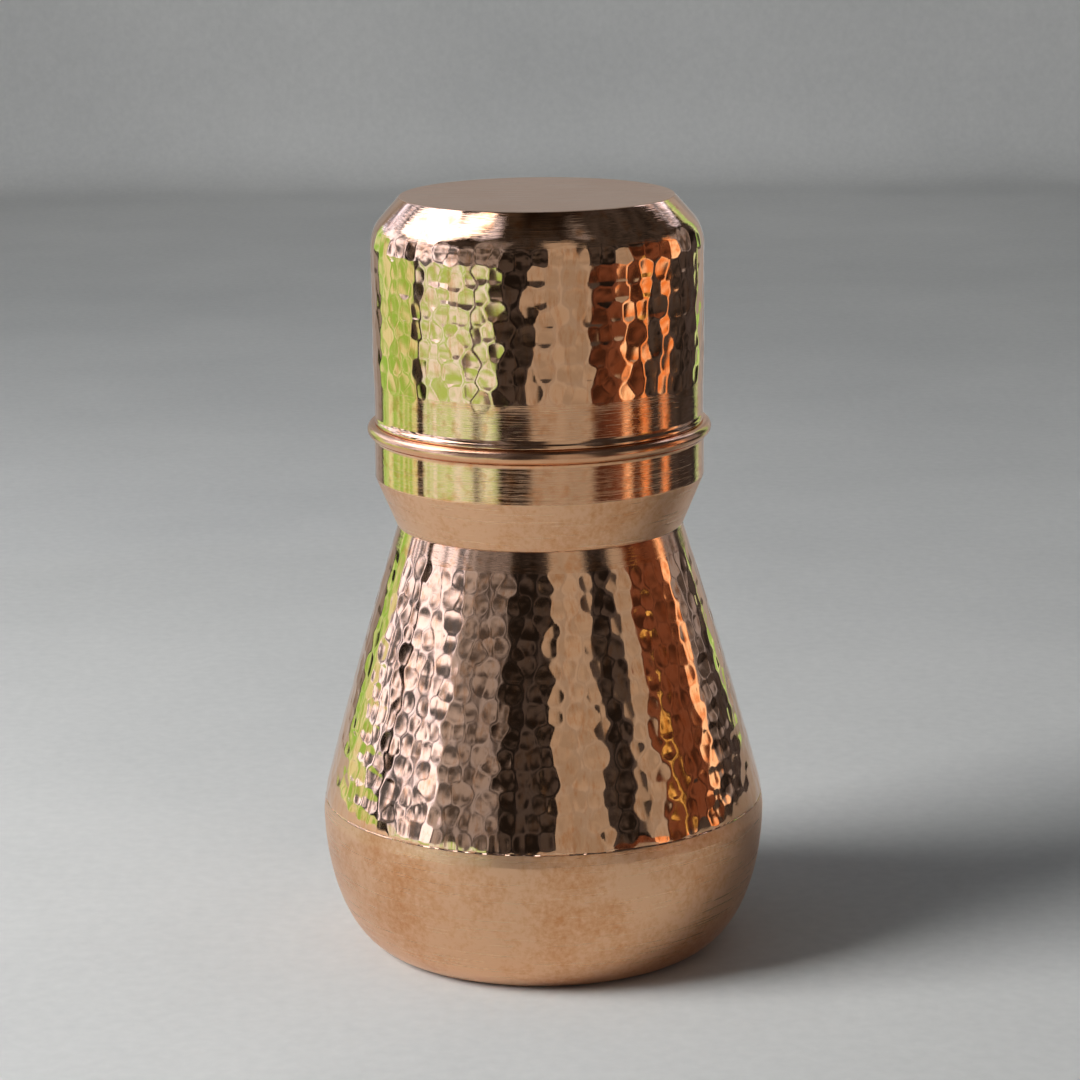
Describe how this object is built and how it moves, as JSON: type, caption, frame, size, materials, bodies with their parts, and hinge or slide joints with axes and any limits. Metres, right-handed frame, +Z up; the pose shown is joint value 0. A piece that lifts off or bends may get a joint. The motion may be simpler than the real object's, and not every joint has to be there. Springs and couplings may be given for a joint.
{
  "type": "copper water bottle with tumbler lid",
  "caption": "Hammered copper bedside water bottle: a pear-shaped carafe with a wide neck, closed by an upturned drinking tumbler that slips over the neck and lifts off.",
  "frame": {"origin": "centre of the foot, on the surface that the bottle stands on", "axes": "+Z up along the bottle's axis of symmetry, from the foot to the tumbler's base"},
  "size_m": [0.12, 0.12, 0.205],
  "materials": {
    "hammered_copper": "polished, hand hammered",
    "satin_copper": "satin, lathe turned",
    "braze_filler": "dull, as brazed"
  },
  "bodies": {
    "carafe": {"lower_bowl": "satin_copper", "hammered_shoulder": "hammered_copper", "flared_neck": "satin_copper", "belly_braze_fillet": "braze_filler", "waist_braze_fillet": "braze_filler"},
    "tumbler": {"tumbler": "hammered_copper"}
  },
  "joints": [
    {"name": "tumbler_lift", "type": "slide", "parent": "carafe", "child": "tumbler", "axis": [0, 0, 1], "range_m": [0, 0.1]}
  ]
}
